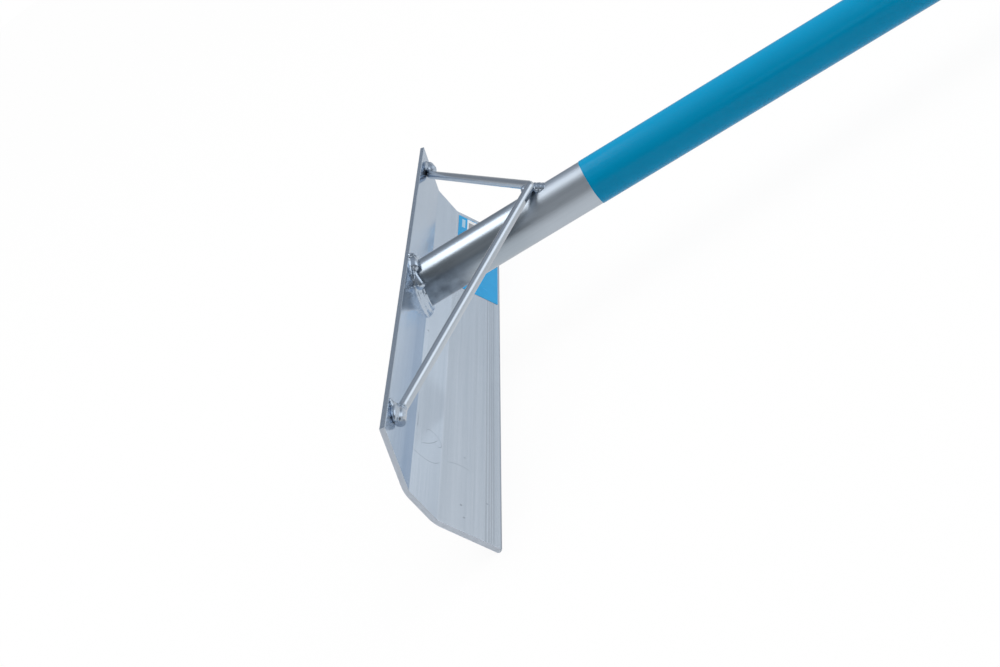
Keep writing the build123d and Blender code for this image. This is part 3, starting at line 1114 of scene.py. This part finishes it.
# %% Walls
ROOM_FRONT = (0.12, 0.125, 0.13)
ROOM_BACK = (0.22, 0.24, 0.27)
CEILING_GAIN = 1.7
WALL_TOP = (math.radians(6), math.radians(18))
WALL_GAP = 0.25
GAP_LEVEL = 0.2
world = bpy.data.worlds.new("room")
bpy.context.scene.world = world
world.use_nodes = True
direction = node(world, "TexCoord", {}, output="Generated")
split = {"Vector": direction}
right_hand, behind, height = (node(world, "SeparateXYZ", split, output=axis) for axis in "XYZ")
room = tint(world, spread(world, behind, 0, 1, start=-0.2, end=0.5), ROOM_FRONT, ROOM_BACK)
upwards = spread(world, height, 1, CEILING_GAIN, start=0.45, end=0.7)
room = node(world, "VectorMath", {0: room, "Scale": upwards}, operation="SCALE")
low = spread(world, height, 1, 0, start=math.sin(WALL_TOP[0]), end=math.sin(WALL_TOP[1]))
facing = spread(world, behind, 0, 1, start=0.1, end=0.6)
off_gap = unsigned(world, node(world, "Math", {0: right_hand, 1: WALL_GAP}, operation="ADD"))
beside_gap = spread(world, off_gap, GAP_LEVEL, 1, start=0.05, end=0.6)
room = tint(world, times(world, times(world, low, facing), beside_gap), room, WALL_PALE)
print("the walls take", len(world.node_tree.nodes), "nodes")

# %% Panels
RIGHT_PANEL = (Vector((0.82, 0.45, 0.34)), (22, 12), (1.3, 1.35, 1.4))
FRONT_PANEL = (Vector((0.2, -0.92, 0.36)), (15, 5), (1.7, 1.7, 1.7))
for towards, edge_degrees, bright in (RIGHT_PANEL, FRONT_PANEL):
    rim, core = (math.cos(math.radians(turn)) for turn in edge_degrees)
    nearness = part_along(world, direction, towards.normalized())
    room = tint(world, spread(world, nearness, 0, 1, start=rim, end=core), room, bright)
print("with the panels,", len(world.node_tree.nodes))

# %% Light for paint, and white for the camera
FILL_PLAIN = (0.02, 0.02, 0.02)
FILL_OVERHEAD = (1.9, 1.9, 1.9)
FILL_RIGHT = (1.5, 1.5, 1.5)
fill = tint(world, spread(world, height, 0, 1, start=0.5, end=0.9), FILL_PLAIN, FILL_OVERHEAD)
from_right = spread(world, right_hand, 0, 1, start=0.1, end=0.5)
from_behind = spread(world, behind, 0, 1, start=-0.1, end=0.3)
fill = tint(world, times(world, from_right, from_behind), fill, FILL_RIGHT)
on_paint = node(world, "LightPath", {}, output="Is Diffuse Ray")
lit = node(world, "Background", {"Color": tint(world, on_paint, room, fill)})
white = node(world, "Background", {"Color": (1, 1, 1, 1)})
seen = node(world, "LightPath", {}, output="Is Camera Ray")
show(world, node(world, "MixShader", {0: seen, 1: lit, 2: white}), output="World Output")
print("and with the light for paint,", len(world.node_tree.nodes))

# %% [markdown]
# ## Camera
# The camera stands beside the blade, a little above it and tilted sideways, so that the handle runs up to
# the right. Its place and its directions were fitted to the blade's corners on the bench.

# %% Camera
CAMERA_PLACE = Vector((245.34, -982.89, 288.98)) * MM
CAMERA_FORWARD = Vector((-0.20268, 0.92419, -0.32372))
CAMERA_RIGHT = Vector((0.84244, -0.00397, -0.53878))
FOCAL_LENGTH = 59.147
SENSOR_WIDTH = 36
NEAREST = 0.05
select_only()
bpy.ops.object.camera_add()
camera = bpy.context.object
camera.data.lens = FOCAL_LENGTH
camera.data.sensor_width = SENSOR_WIDTH
camera.data.clip_start = NEAREST
forward = CAMERA_FORWARD.normalized()
right = (CAMERA_RIGHT - forward * CAMERA_RIGHT.dot(forward)).normalized()
axes = Matrix((right, right.cross(forward), -forward)).transposed().to_4x4()
camera.matrix_world = LAID_DOWN @ Matrix.Translation(CAMERA_PLACE) @ axes
bpy.context.scene.camera = camera
bpy.context.scene.view_settings.view_transform = "Standard"
print("the camera is", round(CAMERA_PLACE.length, 2), "m from the handle's blade end")
